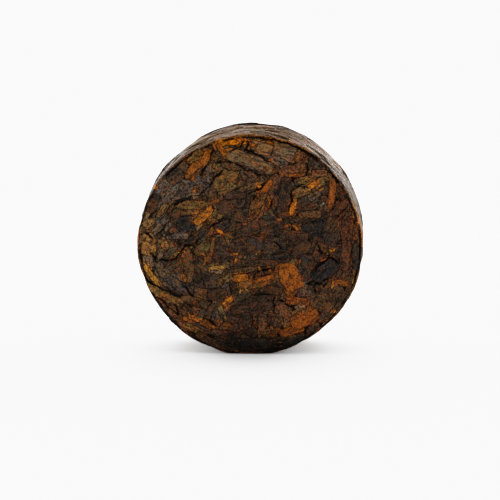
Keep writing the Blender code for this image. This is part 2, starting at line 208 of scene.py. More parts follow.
# The shown face's leaves, lowest first
FRONT_LEAVES = (
    (-8.2, 7.8, 6.8, 2.6, 16, "slate"), (-11.2, 7.6, 3.6, 2.8, 62, "slate"),
    (-9.6, 9.8, 3.6, 1.9, 42, "bark"), (-7.2, 12.0, 2.6, 1.7, 40, "olive"),
    (-5.5, 9.9, 2.8, 1.5, 70, "slate"), (-2.8, 8.8, 4.4, 3.0, 35, "olive"),
    (-4.1, 10.5, 2.2, 1.5, -10, "olive"), (-2.6, 10.8, 2.8, 1.1, -22, "bark"),
    (-0.3, 9.4, 2.6, 1.6, -25, "chestnut"), (-1.6, 7.1, 3.6, 1.3, 14, "umber"),
    (0.4, 8.3, 4.2, 1.1, 26, 8, "bark"), (4.6, 12.7, 3.4, 2.6, -10, "taupe"),
    (3.9, 11.3, 2.4, 1.4, -30, "slate"), (6.7, 12.2, 2.4, 1.5, 60, "chestnut"),
    (7.7, 10.8, 2.8, 1.5, 82, "bark"), (9.0, 10.9, 3.2, 1.8, -52, "umber"),
    (9.2, 9.9, 2.2, 1.1, 0, "chestnut"), (7.5, 9.0, 2.8, 1.2, 10, "olive"),
    (5.6, 10.2, 3.8, 1.6, 15, "chestnut"), (-0.9, 5.9, 2.8, 2.0, 80, "umber"),
    (-3.0, 5.4, 3.0, 1.8, 20, "umber"), (-1.3, 4.2, 2.6, 2.0, 0, "umber"),
    (1.7, 3.4, 3.0, 1.6, 10, "umber"), (1.8, 6.5, 7.4, 2.3, 61, -14, "chestnut"),
    (4.5, 6.3, 5.0, 1.8, 82, "umber"), (7.7, 5.9, 3.6, 2.4, 30, "umber"),
    (8.6, 6.8, 2.0, 1.2, 20, "slate"), (8.0, 4.3, 3.2, 1.2, 8, "bark"),
    (5.0, 4.2, 2.4, 1.1, 0, "umber"), (5.8, 5.7, 3.3, 0.9, 80, "gold"),
    (7.8, 7.9, 4.8, 1.5, 25, "olive"), (12.4, 7.2, 3.4, 1.4, -62, "russet"),
    (10.6, 5.7, 2.2, 1.2, 70, "russet"), (12.1, 5.0, 3.4, 1.7, 45, "russet"),
    (11.0, 7.3, 4.2, 1.1, 84, 30, "rust"), (8.6, 2.3, 3.4, 2.3, 12, "char"),
    (10.8, 3.0, 2.4, 1.6, 60, "umber"), (10.8, 0.8, 2.4, 1.8, 75, "umber"),
    (12.9, 2.0, 4.2, 1.7, 86, "russet"), (12.7, -1.2, 4.2, 1.5, 85, "russet"),
    (14.1, -1.4, 3.8, 1.1, 94, "char"), (5.5, 1.2, 4.6, 2.2, -5, "umber"),
    (2.2, 0.1, 5.4, 2.4, 0, "umber"), (-0.3, 2.2, 3.4, 1.8, 14, "umber"),
    (6.8, -0.4, 3.2, 1.8, 40, "umber"), (9.2, -0.8, 2.8, 1.8, 60, "umber"),
    (7.3, -2.6, 3.2, 2.4, 78, "umber"), (11.9, -4.9, 3.2, 1.0, -8, "rust"),
    (13.2, -5.8, 2.6, 0.9, 62, "russet"), (10.5, -6.9, 4.6, 3.0, 52, "bark"),
    (12.3, -7.4, 3.0, 1.2, 60, "umber"), (7.5, -6.2, 1.9, 1.4, 0, "slate"),
    (10.1, -3.1, 4.4, 2.3, 42, "char"), (2.9, -6.0, 3.0, 1.3, -8, "umber"),
    (-1.0, -3.3, 4.2, 0.9, 8, "bark"), (1.6, -2.3, 4.4, 1.0, 2, "umber"),
    (1.2, -4.9, 5.6, 1.6, 11, 22, "bronze"), (5.3, -6.2, 1.8, 1.3, -60, "rust"),
    (5.5, -4.2, 3.9, 2.9, -62, "rust"), (3.7, -2.9, 3.2, 0.7, 22, -24, "rust"),
    (-1.3, -4.3, 2.2, 1.2, 5, "gold"), (1.0, -8.0, 4.0, 2.6, 15, "umber"),
    (-1.3, -8.6, 2.6, 1.4, 0, "umber"), (-0.6, -10.3, 2.8, 1.8, 80, "umber"),
    (8.2, -8.9, 1.8, 1.0, -70, "rust"), (6.4, -7.5, 3.4, 1.3, -10, "rust"),
    (5.6, -11.6, 3.6, 1.3, 15, "rust"), (7.4, -9.9, 4.2, 2.4, 27, "rust"),
    (3.5, -10.3, 2.2, 1.6, 90, "umber"), (3.3, -11.7, 1.8, 1.0, 40, "rust"),
    (4.4, -9.0, 3.0, 2.5, 80, "chestnut"), (1.6, -10.7, 2.8, 1.5, 88, "chestnut"),
    (-7.2, -3.8, 4.4, 1.4, 102, "umber"), (-8.4, -2.6, 5.2, 2.0, 95, 34, "bark"),
    (-6.3, -2.9, 3.0, 1.2, -58, "umber"), (-3.6, -1.2, 3.2, 2.3, -20, "umber"),
    (-3.4, -4.6, 2.6, 1.2, 30, "olive"), (-6.4, -6.6, 2.8, 1.7, -10, "bark"),
    (-4.4, -6.6, 2.8, 1.6, 10, "umber"), (-13.7, -1.8, 2.6, 1.4, -72, "slate"),
    (-12.0, -3.2, 3.0, 1.3, -62, "slate"), (-10.2, -3.9, 3.4, 1.5, -36, "slate"),
    (-9.6, -5.5, 4.6, 1.5, -34, 10, "slate"), (-7.3, -7.7, 4.6, 1.3, -14, "bark"),
    (-9.8, -8.5, 3.8, 1.4, -35, "bark"), (-11.7, -6.8, 6.0, 1.3, -27, 14, "olive"),
    (-13.4, -3.9, 4.4, 0.9, -52, 10, "straw"), (-11.4, -8.9, 3.6, 1.0, -50, 20, "chestnut"),
    (-9.9, -10.3, 4.0, 1.1, -46, 20, "chestnut"), (-7.6, -11.4, 3.4, 1.1, -27, "olive"),
    (-5.8, -10.6, 2.8, 1.1, -28, "rust"), (-7.4, -9.9, 2.2, 0.9, -15, "gold"),
    (-3.8, -9.0, 2.8, 0.9, 112, -30, "olive"), (-5.3, -8.9, 2.4, 1.2, 60, "umber"),
    (-3.3, -12.1, 4.2, 1.3, -10, 12, "umber"), (-5.4, -13.0, 4.2, 1.3, -24, 20, "bark"),
    (0.2, -13.4, 7.0, 1.8, 0, 26, "char"), (5.6, -13.1, 4.2, 1.3, 24, 20, "char"),
    (-12.9, 5.6, 2.6, 1.6, 62, "umber"), (-11.8, 4.2, 5.0, 1.6, 80, "slate"),
    (-9.8, 3.9, 2.2, 1.4, 80, "umber"), (-7.4, 5.5, 4.8, 1.3, 3, "olive"),
    (-8.0, 4.5, 2.6, 0.9, 5, "bronze"), (-13.5, 3.0, 1.8, 1.3, 40, "tan"),
    (-12.4, 1.9, 2.4, 1.2, 50, "taupe"), (-13.6, 0.2, 3.2, 2.3, 75, "tan"),
    (-12.0, -1.3, 2.0, 0.9, 80, "slate"), (-11.5, 0.3, 2.0, 1.2, -50, "tan"),
    (-9.3, 1.3, 2.4, 1.1, 0, "slate"), (-10.3, -0.9, 2.4, 1.3, 20, "bark"),
    (-6.3, -0.3, 2.8, 1.5, 42, "olive"), (-8.4, 2.9, 2.8, 2.4, 0, "char"),
    (-7.4, 1.0, 7.4, 1.1, 38, -10, "umber"), (-6.2, 4.0, 3.3, 1.2, 45, "gold"),
    (-4.2, 2.4, 3.6, 1.3, 35, "umber"), (-2.7, 1.4, 1.6, 1.2, 20, "bronze"),
    (-5.0, -0.1, 2.8, 0.7, 80, "bronze"), (1.3, 13.2, 3.4, 1.7, -15, "taupe"),
    (-0.4, 11.6, 7.4, 2.0, -21, "taupe"), (-4.3, 13.2, 2.2, 1.2, -60, "slate"),
    (-2.6, 14.2, 4.4, 1.3, 4, -16, "gold"), (-3.8, 13.0, 2.2, 0.9, -58, "rust"),
    (-6.0, 11.8, 3.2, 1.1, 62, 20, "rust"), (-7.6, 10.2, 3.0, 1.6, 55, -30, "rust"),
    (3.2, 14.5, 5.6, 0.5, -12, -24, "gold"),
)

# Its scraps, over the leaves; the two palest ones are painted highlights
FRONT_SCRAPS = (
    (-7.0, 9.9, 1.5, 0.8, 50, "chestnut"), (0.4, 13.6, 1.3, 0.6, -20, "rust"),
    (2.4, 5.6, 1.8, 0.7, 70, "rust"), (3.5, 6.1, 1.6, 0.6, 80, "russet"),
    (2.2, 7.9, 2.6, 0.9, 55, "rust"), (1.3, 5.9, 3.0, 1.1, 64, "bronze"),
    (0.6, 4.3, 2.0, 1.0, 50, "bronze"), (6.2, 9.6, 2.4, 0.6, 8, "rust"),
    (8.5, 8.4, 2.0, 0.9, 30, "gold"), (7.4, 7.6, 1.6, 0.7, 20, "tan"),
    (8.9, 7.4, 2.2, 0.3, 28, "tan"), (9.6, 5.7, 0.8, 0.3, 38, "pale_glint"),
    (4.9, 2.8, 1.2, 0.6, 30, "rust"), (6.1, 2.5, 1.3, 0.55, -45, "gold"),
    (3.9, 3.6, 0.8, 0.5, 0, "rust"), (1.7, 1.3, 1.0, 0.8, 0, "rust"),
    (8.5, -2.7, 1.5, 0.3, 58, "rust"), (10.3, -1.6, 2.2, 0.28, 16, -30, "rust"),
    (6.7, -8.3, 1.5, 0.45, 4, "pale_glint"), (2.6, -11.2, 1.2, 0.7, 10, "chestnut"),
    (-2.9, -10.7, 1.6, 0.7, -10, "rust"), (-1.3, -11.3, 1.3, 0.6, 20, "chestnut"),
    (-9.2, -3.0, 3.6, 0.45, 95, 30, "bronze"), (-8.8, -4.4, 1.3, 0.6, -70, "gold"),
    (-6.0, -1.7, 2.3, 0.4, 100, 120, "gold"), (-4.5, -3.0, 2.3, 0.7, 8, "straw"),
    (-2.0, -1.1, 0.8, 0.45, 0, "gold"), (-1.9, -2.0, 0.8, 0.55, 80, "gold"),
    (-1.3, -6.2, 0.6, 0.35, 60, "straw"), (-0.4, -5.9, 0.5, 0.25, 0, "straw"),
    (-3.0, -7.5, 1.8, 0.95, 38, "gold"), (-12.9, -6.3, 1.7, 0.9, -50, "tan"),
    (-5.2, 1.9, 1.7, 0.7, 60, "bronze"), (-0.9, 0.6, 1.3, 0.5, -45, "bronze"),
    (-4.9, 3.4, 1.4, 0.7, 0, "chestnut"), (-4.9, 6.0, 1.7, 0.6, 20, "rust"),
    (-11.6, 4.7, 2.4, 1.1, 60, "olive"), (1.8, -4.5, 3.2, 0.8, 14, "rust"),
)

# Cracks in the shown face, dented and painted dark as their shade: each a run of points
CRACKS = (
    ((0.1, 14.6), (-0.3, 13.7), (-0.7, 13.1), (0.8, 12.4), (2.4, 11.4)),
    ((-4.3, 11.4), (-3.4, 11.4), (-2.6, 11.3)),
    ((-1.8, 11.0), (-0.7, 10.4), (0.3, 10.1), (1.2, 9.6)),
    ((-3.7, 10.0), (-4.7, 9.4), (-5.0, 8.7), (-5.6, 7.9), (-6.9, 6.9)),
    ((-9.9, 5.6), (-9.1, 6.0), (-8.7, 6.2)),
    ((-5.1, 12.7), (-5.4, 11.3), (-6.4, 10.3), (-6.6, 9.6)),
    ((0.0, 7.1), (1.0, 7.5), (2.0, 8.4)),
    ((5.5, 7.0), (5.6, 6.3), (5.3, 5.4)),
    ((5.6, 9.1), (6.1, 8.2), (7.2, 7.9)),
    ((7.6, 11.0), (7.6, 9.7)),
    ((11.4, 3.9), (12.2, 4.6), (12.9, 5.4)),
    ((3.3, 0.6), (3.9, -0.1)),
    ((0.1, -4.4), (0.8, -3.7), (1.6, -3.3), (2.6, -3.0)),
    ((8.4, -3.5), (9.0, -2.9), (9.8, -2.1), (10.6, -1.6), (11.3, -1.7), (11.7, -2.2)),
    ((7.6, -5.0), (8.2, -4.9), (9.4, -5.0), (10.2, -4.4)),
    ((8.5, -5.3), (8.8, -6.0)),
    ((9.0, 0.2), (9.2, -0.7), (10.4, -1.2)),
    ((-10.9, 3.1), (-11.6, 2.2), (-12.2, 1.6)),
    ((-13.9, 1.7), (-13.1, 1.1)),
    ((-13.2, -1.2), (-12.7, -1.5), (-12.5, -2.3)),
    ((-11.9, -2.0), (-10.0, -1.9), (-9.3, -1.0), (-8.6, -0.1), (-7.4, 0.1), (-6.8, 1.0)),
    ((-14.2, -4.5), (-13.3, -5.1), (-12.2, -5.8), (-10.5, -6.5)),
    ((-9.2, -5.3), (-8.4, -6.3), (-7.7, -6.8)),
    ((-6.1, -9.8), (-5.4, -10.3), (-4.6, -10.8)),
    ((-10.1, -8.4), (-9.7, -9.3)),
    ((3.3, -7.1), (3.2, -7.8), (3.1, -8.7)),
    ((4.0, -7.4), (5.0, -7.9), (5.7, -8.3)),
    ((2.6, 5.2), (2.9, 6.0)),
    ((-5.4, 2.4), (-4.7, 2.9)),
    ((-2.4, 12.9), (-1.5, 13.2), (-0.9, 14.1)),
    ((0.7, 14.5), (3.0, 14.3), (4.5, 13.9), (6.1, 13.4), (7.8, 12.7), (9.3, 11.6), (10.3, 10.7)),
)

# Leaves scattered under the listed ones, on each chart: count, length range, width range
BASE_LEAVES = {
    "front": (300, (2.6, 6.0), (1.2, 2.6)),
    "back": (300, (2.6, 6.0), (1.2, 2.6)),
    "wall": (320, (3.5, 8.0), (1.0, 2.2)),
}
UPPER_LEAVES = {
    "front": (60, (1.4, 3.4), (0.6, 1.4)),
    "back": (150, (2.0, 6.0), (0.8, 2.2)),
    "wall": (210, (2.4, 7.5), (0.7, 1.8)),
}
SCRAPS = {
    "front": (90, (0.5, 1.5), (0.2, 0.6)),
    "back": (160, (0.5, 1.8), (0.2, 0.7)),
    "wall": (200, (0.5, 2.0), (0.2, 0.6)),
}
EVEN_STEPS = np.array([0.754878, 0.56984])  # steps that fill a chart evenly, as shares of it
EVEN_JITTER = 0.06
BEND = 35.0  # a scattered leaf's greatest bend, in degrees
WALL_BEND = 0.4  # the share of it on the wall
WALL_TURN = 9.0  # how far leaves turn from lying along the wall, and from lying along the rim
RIM_TURN = 14.0
RIM_BEND = 20.0
RIM_ZONE = 0.8  # past this share of the radius the leaves follow the rim
PAST_RIM = 0.3
STOUTEST = 0.7  # a leaf's greatest width for its length
RIM_STRIPS = 34
RIM_STRIP_REACH = (-0.45, 0.15)
RIM_STRIP_LENGTH = (2.5, 6.0)
RIM_STRIP_WIDTH = (0.35, 0.8)
RIM_STRIP_TURN = 2.0

# How often each tint is drawn, by chart, for the strips on the rim and for the faces' scraps
TINT_SHARES = {
    "front": {
        "umber": 0.30, "bark": 0.16, "slate": 0.15, "char": 0.07, "chestnut": 0.12,
        "olive": 0.08, "taupe": 0.04, "rust": 0.05, "gold": 0.03,
    },
    "back": {
        "umber": 0.24, "bark": 0.22, "slate": 0.10, "char": 0.10,
        "chestnut": 0.12, "russet": 0.08, "olive": 0.09, "bronze": 0.05,
    },
    "wall": {
        "umber": 0.18, "bark": 0.20, "slate": 0.10, "char": 0.04, "chestnut": 0.14,
        "olive": 0.16, "taupe": 0.10, "tan": 0.06, "rust": 0.02,
    },
    "rim": {"umber": 0.30, "chestnut": 0.25, "rust": 0.20, "gold": 0.10, "char": 0.15},
    "scraps": {
        "umber": 0.30, "bark": 0.20, "char": 0.10, "chestnut": 0.12,
        "olive": 0.08, "rust": 0.10, "gold": 0.07, "straw": 0.03,
    },
}


# ---- the coin


def outline_factor(around):
    waves = (share * np.cos(lobes * around - math.radians(at)) for lobes, share, at in OUTLINE_WAVES)
    return 1.0 + sum(waves)


def on_coin(run, around, height):
    """Points in metres, from the run along the surface, the angle round it and the height over it."""
    side = np.where(run < SPAN / 2, -1.0, 1.0)
    near = np.minimum(run, SPAN - run)
    turn = np.clip((near - FLAT) / EDGE_ROUND, 0.0, math.pi / 2)
    out, forward = np.sin(turn), np.cos(turn)
    behind = EDGE_ROUND * (1.0 - forward) + np.maximum(near - FLAT - QUARTER, 0.0)
    radius = np.minimum(near, FLAT) + EDGE_ROUND * out
    near_rim = np.clip(1.0 - (RADIUS - radius) / WEAR_WIDTH, 0.0, None)
    lowness = np.clip(-np.sin(around), 0.0, None)
    radius = (radius + height * out) * outline_factor(around)
    depth = THICKNESS / 2 - behind + height * forward
    depth = depth - np.where(depth > 0.0, WEAR_DEPTH * near_rim**2 * lowness**2, 0.0)
    level = CENTRE_Z + radius * np.sin(around)
    soft = FOOT_SOFTNESS * np.exp(np.minimum(level / FOOT_SOFTNESS - 1.0, 0.0))
    level = np.where(level < FOOT_SOFTNESS, soft, level)
    return np.stack([radius * np.cos(around), side * depth, level], axis=-1) * MM


def to_surface(chart, x, z):
    """A chart's points as runs and angles. The wall's chart has x round the coin, z along its axis."""
    if chart == "wall":
        return SPAN / 2 + z, x / RADIUS
    run = np.hypot(x, z)
    return (run if chart == "front" else SPAN - run), np.arctan2(z, x)


def to_chart(chart, run, around, near_x):
    """The reverse, with the wall's x taken on the turn that lies nearest to near_x."""
    if chart == "wall":
        x = around * RADIUS
        return near_x + (x - near_x + GIRTH / 2) % GIRTH - GIRTH / 2, run - SPAN / 2
    reach = run if chart == "front" else SPAN - run
    return reach * np.cos(around), reach * np.sin(around)


# ---- the leaves


def bilinear(values, row, column, wrap=False):
    """values at fractional rows and columns; columns go round if wrap is set."""
    row = np.clip(row, 0.0, values.shape[0] - 1.001)
    if not wrap:
        column = np.clip(column, 0.0, values.shape[1] - 1.001)
    r = np.floor(row).astype(int)
    c = np.floor(column).astype(int)
    dr, dc = row - r, column - c
    c, after = c % values.shape[1], (c + 1) % values.shape[1]
    low = values[r, c] * (1 - dc) + values[r, after] * dc
    high = values[r + 1, c] * (1 - dc) + values[r + 1, after] * dc
    return low * (1 - dr) + high * dr


def soften(values, passes, sides="edge"):
    """Repeated smoothing with a narrow filter; columns go round if sides is "wrap"."""
    for _ in range(passes):
        padded = np.pad(values, ((1, 1), (0, 0)), mode="edge")
        values = (padded[:-2] + 2 * values + padded[2:]) / 4
        padded = np.pad(values, ((0, 0), (1, 1)), mode=sides)
        values = (padded[:, :-2] + 2 * values + padded[:, 2:]) / 4
    return values


class Leaf:
    """A leaf or scrap with its own outline, thickness and ribs. Stems are blunter and smoother."""

    def __init__(self, chart, row, draw, step):
        self.chart = chart
        self.x, self.z, self.length, self.width, angle, *bend, self.tint = row
        self.cos, self.sin = math.cos(math.radians(angle)), math.sin(math.radians(angle))
        self.turn = math.radians(bend[0] if bend else 0.0) / self.length
        self.step = step
        stem = TINTS[self.tint][1] == "flat_stems"
        self.blunt = draw.uniform(4.0, 8.0) if stem else draw.uniform(2.0, 5.0)
        self.tips = draw.uniform(0.45, 0.85, 2) if stem else draw.uniform(0.05, 0.6, 2)
        ragged = 0.3 if stem else 0.75
        self.wobble = [
            (ragged * draw.uniform(0.3, 1.0) * size, draw.uniform(0.6, 1.4) * times, draw.uniform(0.0, 1.0))
            for times, size in ((0.8, 0.16), (2.0, 0.11), (4.5, 0.08), (9.0, 0.05))
            for _ in range(2)
        ]
        self.thickness = draw.uniform(0.16, 0.30) * min(1.0, 0.45 + self.width / 2)
        self.edge_power = draw.uniform(2.0, 6.0)
        self.fold = draw.uniform(-0.10, 0.10) * self.width / 2
        self.ribs = draw.integers(2, 5)
        self.rib_height = 0.035 if stem else draw.uniform(0.0, 0.03)
        self.rib_at = draw.uniform(0.0, 1.0)
        self.seed = draw.uniform(0.0, 1.0)
        self.lighter, self.warmer = draw.normal(0.0, 1.0, 3)[:2]  # the third keeps the order of draws

    def halves(self, share):
        """Half-widths on the left and the right at shares of the length from -0.5 to 0.5."""
        full = np.sqrt(np.clip(1.0 - np.abs(2 * share) ** self.blunt, 0.0, 1.0))
        tip = np.where(share < 0.0, self.tips[0], self.tips[1])
        body = (tip + (1.0 - tip) * full) * self.width / 2
        sides = [1.0, 1.0]
        for index, (size, often, start) in enumerate(self.wobble):
            sides[index % 2] = sides[index % 2] + size * np.sin(math.tau * (often * share + start))
        return body * sides[0], body * sides[1]

    def lay_out(self):
        """Sets the grid of points over the leaf, and their places on the chart."""
        rows = max(5, math.ceil(self.length / self.step) + 1)
        columns = max(5, math.ceil(self.width / self.step) + 1)
        share = np.linspace(-0.5, 0.5, rows)[:, None]
        self.across = np.sin(np.linspace(-1.0, 1.0, columns) * math.pi / 2)[None, :]
        left, right = self.halves(share)
        self.sideways = np.where(self.across > 0.0, self.across * left, self.across * right)
        self.along = share * self.length + 0.0 * self.sideways
        a, b = self.along, self.sideways
        if abs(self.turn) >= STRAIGHT:
            centre, turned = 1.0 / self.turn, self.turn * a
            reach = centre - b
            a, b = reach * np.sin(turned), centre - reach * np.cos(turned)
        self.chart_x = self.x + a * self.cos - b * self.sin
        self.chart_z = self.z + a * self.sin + b * self.cos

    def locate(self, x, z):
        """Fractional row and column of chart points, and whether each lies on the leaf."""
        a = (x - self.x) * self.cos + (z - self.z) * self.sin
        b = (z - self.z) * self.cos - (x - self.x) * self.sin
        if abs(self.turn) >= STRAIGHT:
            hand = math.copysign(1.0, self.turn)
            centre = 1.0 / self.turn
            radius = hand * np.hypot(a, centre - b)
            a = np.arctan2(hand * a, hand * (centre - b)) / self.turn
            b = centre - radius
        share = a / self.length
        inside = np.abs(share) <= 0.5
        left, right = self.halves(np.clip(share, -0.5, 0.5))
        across = np.where(b > 0.0, b / left, b / right)
        inside &= np.abs(across) <= 1.0
        rows, columns = self.along.shape
        column = (np.arcsin(np.clip(across, -1.0, 1.0)) / math.pi + 0.5) * (columns - 1)
        return (share + 0.5) * (rows - 1), column, inside

    def form(self):
        """The upper side's height over what the leaf lies on."""
        edge = 1.0 - 0.75 * np.abs(self.across) ** self.edge_power
        ends = 1.0 - 0.6 * np.abs(2 * self.along / self.length) ** 8
        ribs = np.cos(math.pi * (self.ribs * self.across + self.rib_at))
        fold = self.fold * (self.sideways / (self.width / 2))
        return self.thickness * edge * ends + self.rib_height * ribs * edge + fold


class Bed:
    """How high the leaves lie, and which leaf is on top, on a grid over the whole coin."""

    def __init__(self):
        self.rows = int(SPAN / CELL) + 2
        self.columns = int(GIRTH / CELL)
        self.height = np.zeros((self.rows, self.columns))
        self.owner = np.full((self.rows, self.columns), -1)

    def sample(self, values, run, around):
        column = around / math.tau * self.columns
        return bilinear(values, run / CELL, column % self.columns, wrap=True)

    def window(self, run, around):
        """The rows and columns of the grid that a leaf may cover."""
        low, high = run.min() - CELL, run.max() + CELL
        rows = np.arange(max(0, int(low / CELL)), min(self.rows - 1, int(high / CELL) + 1) + 1)
        if min(low, SPAN - high) < 1.0:
            return rows, np.arange(self.columns)
        middle = around[around.shape[0] // 2, around.shape[1] // 2]
        away = (around - middle + math.pi) % math.tau - math.pi
        first = int((middle + away.min()) / math.tau * self.columns) - 2
        last = int((middle + away.max()) / math.tau * self.columns) + 2
        return rows, np.arange(first, last + 1) % self.columns

    def add(self, leaf, number):
        """Drapes a leaf over the bed."""
        leaf.lay_out()
        leaf.run, leaf.around = to_surface(leaf.chart, leaf.chart_x, leaf.chart_z)
        below = self.sample(self.height, leaf.run, leaf.around)
        smooth = soften(below, DRAPE_PASSES)
        leaf.base = smooth + CONFORM * np.maximum(below - smooth, 0.0)
        leaf.top = leaf.base + leaf.form()
        rows, columns = self.window(leaf.run, leaf.around)
        turns = columns / self.columns * math.tau
        cell_run, cell_around = np.meshgrid(rows * CELL, turns, indexing="ij")
        x, z = to_chart(leaf.chart, cell_run, cell_around, leaf.x)
        row, column, inside = leaf.locate(x, z)
        top = bilinear(leaf.top, row, column)
        spot = np.ix_(rows, columns)
        over = inside & (top > self.height[spot])
        self.height[spot] = np.where(over, top, self.height[spot])
        self.owner[spot] = np.where(over, number, self.owner[spot])


def pressed(height, run):
    """The height over the mould's surface, after pressing; the wall is pressed less hard."""
    near = np.minimum(run, SPAN - run)
    depth = PRESS + (WALL_PRESS - PRESS) * np.clip((near - FLAT) / EDGE_ROUND, 0.0, 1.0)
    return depth * (1.0 - np.exp(-height / depth) - SINK)


def crack_distance(x, z):
    """How far points of the front chart lie from the nearest crack, and how far to its left."""
    wander_x = x + 0.10 * np.sin(3.7 * z + 1.3 * x) + 0.05 * np.sin(11.0 * x - 7.0 * z)
    wander_z = z + 0.10 * np.sin(3.1 * x - 2.1 * z) + 0.05 * np.sin(9.0 * x + 8.0 * z)
    least = np.full(np.shape(x), CRACK_REACH)
    aside = least
    for line in CRACKS:
        for (ax, az), (bx, bz) in zip(line, line[1:]):
            dx, dz = bx - ax, bz - az
            px, pz = wander_x - ax, wander_z - az
            share = np.clip((px * dx + pz * dz) / (dx * dx + dz * dz), 0.0, 1.0)
            away = np.hypot(px - share * dx, pz - share * dz)
            left = (dx * pz - dz * px) / math.hypot(dx, dz)
            aside = np.where(away < least, left, aside)
            least = np.minimum(least, away)
    return least, aside


def smooth_share(value, low, high):
    share = np.clip((value - low) / (high - low), 0.0, 1.0)
    return share * share * (3.0 - 2.0 * share)


def painted_shade_factor(points, over):
    """How light the leaves are painted at each point: painted shade just over the ground, where the floor
    shades them, and on the far face, against its bright light from behind.
    """
    x, y, level = np.moveaxis(points / MM, -1, 0)
    level = level + 0.35 * np.sin(1.1 * x + 0.6) + 0.25 * np.sin(2.9 * x + 2.0 * level)
    # painted shade near the floor, fading out with height
    low = FOOT_SHADE_DARKEST + (1.0 - FOOT_SHADE_DARKEST) * smooth_share(level, *FOOT_SHADE_HEIGHTS)
    # and painted shade on the far face
    return low * np.where(y > 0.0, 1.0 - (1.0 - BACK_SHADE) * smooth_share(-over, *BACK_SHADE_SPAN), 1.0)


def pick(shares, draw):
    weights = np.array(list(shares.values()))
    return list(shares)[draw.choice(len(shares), p=weights / weights.sum())]


def scattered(chart, amount, shares, draw, step):
    """Leaves spread over a chart, lying round the rim near it and round the wall."""
    count, lengths, widths = amount
    leaves = []
    for index in range(count):
        bend = draw.uniform(-BEND, BEND)
        first, second = spot = draw.uniform(0.0, 1.0, 2)
        if chart != "front":
            first, second = (index * EVEN_STEPS + EVEN_JITTER * spot) % 1.0
        if chart == "wall":
            x, z = first * GIRTH, (second - 0.5) * THICKNESS
            angle = draw.normal(0.0, WALL_TURN)
            bend *= WALL_BEND
        else:
            reach, around = (RADIUS + PAST_RIM) * math.sqrt(first), second * math.tau
            x, z = reach * math.cos(around), reach * math.sin(around)
            angle = draw.uniform(0.0, 180.0)
            if reach > RIM_ZONE * RADIUS:
                angle = math.degrees(around) + 90.0 + draw.normal(0.0, RIM_TURN)
                bend = RIM_BEND
        length, width = draw.uniform(*lengths), draw.uniform(*widths)
        row = (x, z, length, min(width, STOUTEST * length), angle, bend, pick(shares, draw))
        leaves.append(Leaf(chart, row, draw, step))
    return leaves


def rim_strips(chart, draw):
    """Narrow strips over the corner between a face and the wall."""
    leaves = []
    for index in range(RIM_STRIPS):
        around = math.tau * (index + draw.uniform(-0.5, 0.5)) / RIM_STRIPS
        reach = RADIUS + draw.uniform(*RIM_STRIP_REACH)
        length, width = draw.uniform(*RIM_STRIP_LENGTH), draw.uniform(*RIM_STRIP_WIDTH)
        angle = math.degrees(around) + 90.0 + draw.normal(0.0, RIM_STRIP_TURN)
        bend = math.degrees(length / reach)
        x, z = reach * math.cos(around), reach * math.sin(around)
        row = (x, z, length, width, angle, bend, pick(TINT_SHARES["rim"], draw))
        leaves.append(Leaf(chart, row, draw, SCRAP_STEP))
    return leaves


def random_for(*key):
    """A generator of its own for each list, so that one list's changes leave the others alone."""
    return np.random.default_rng([SEED, *key])


def listed_leaves(rows, key):
    return [Leaf("front", row, random_for(key, index), LISTED_STEP) for index, row in enumerate(rows)]


def all_leaves():
    """Every leaf, in the order in which they are laid; the whole numbers are the lists' keys."""
    leaves = []
    for layer, (amounts, step) in enumerate(((BASE_LEAVES, BASE_STEP), (UPPER_LEAVES, UPPER_STEP))):
        for place, (chart, amount) in enumerate(amounts.items()):
            leaves += scattered(chart, amount, TINT_SHARES[chart], random_for(layer, place), step)
    leaves += rim_strips("front", random_for(3, 0)) + rim_strips("back", random_for(3, 1))
    leaves += listed_leaves(FRONT_FILLS, 4) + listed_leaves(FRONT_LEAVES, 5)
    for place, (chart, amount) in enumerate(SCRAPS.items()):
        shares = TINT_SHARES["wall" if chart == "wall" else "scraps"]
        leaves += scattered(chart, amount, shares, random_for(6, place), SCRAP_STEP)
    return leaves + listed_leaves(FRONT_SCRAPS, 7)


# ---- the meshes


def add_object(name, data):
    made = bpy.data.objects.new(name, data)
    bpy.context.scene.collection.objects.link(made)
    return made


def add_attribute(mesh, name, kind, values):
    field = {"FLOAT": "value", "FLOAT_VECTOR": "vector", "FLOAT_COLOR": "color"}[kind]
    layer = mesh.attributes.new(name, kind, "POINT")
    layer.data.foreach_set(field, np.ravel(values).astype(np.float32))


def to_linear(colour):
    share = np.array(colour) / 255
    return np.where(share <= 0.04045, share / 12.92, ((share + 0.055) / 1.055) ** 2.4)


def leaf_colour(leaf):
    """The leaf's own colour, a little off its tint in lightness and warmth."""
    colour = to_linear(TINTS[leaf.tint][0]) * TINT_GAIN * math.exp(TINT_SPREAD * leaf.lighter)
    return colour * np.exp(TINT_WARMTH * leaf.warmer)


class MeshParts:
    """Points, faces and values of many leaves, gathered for one mesh."""

    def __init__(self):
        self.points, self.faces, self.values = [], [], []
        self.count = 0

    def add(self, points, faces, values):
        self.points.append(points)
        self.faces.extend([[index + self.count for index in face] for face in faces])
        self.values.append(values)
        self.count += len(points)

    def build(self, name):
        mesh = bpy.data.meshes.new(name)
        mesh.from_pydata(np.concatenate(self.points), [], self.faces)
        values = np.concatenate(self.values)
        alpha = np.ones((len(values), 1))
        add_attribute(mesh, "tint", "FLOAT_COLOR", np.hstack([values[:, :3], alpha]))
        add_attribute(mesh, "nearby", "FLOAT_COLOR", np.hstack([values[:, 3:6], alpha]))
        add_attribute(mesh, "grain", "FLOAT_VECTOR", values[:, 6:9])
        for column, attribute in enumerate(("hollow_shade", "inward", "crack", "aside", "over"), 9):
            add_attribute(mesh, attribute, "FLOAT", values[:, column])
        mesh.shade_smooth()
        return add_object(name, mesh)


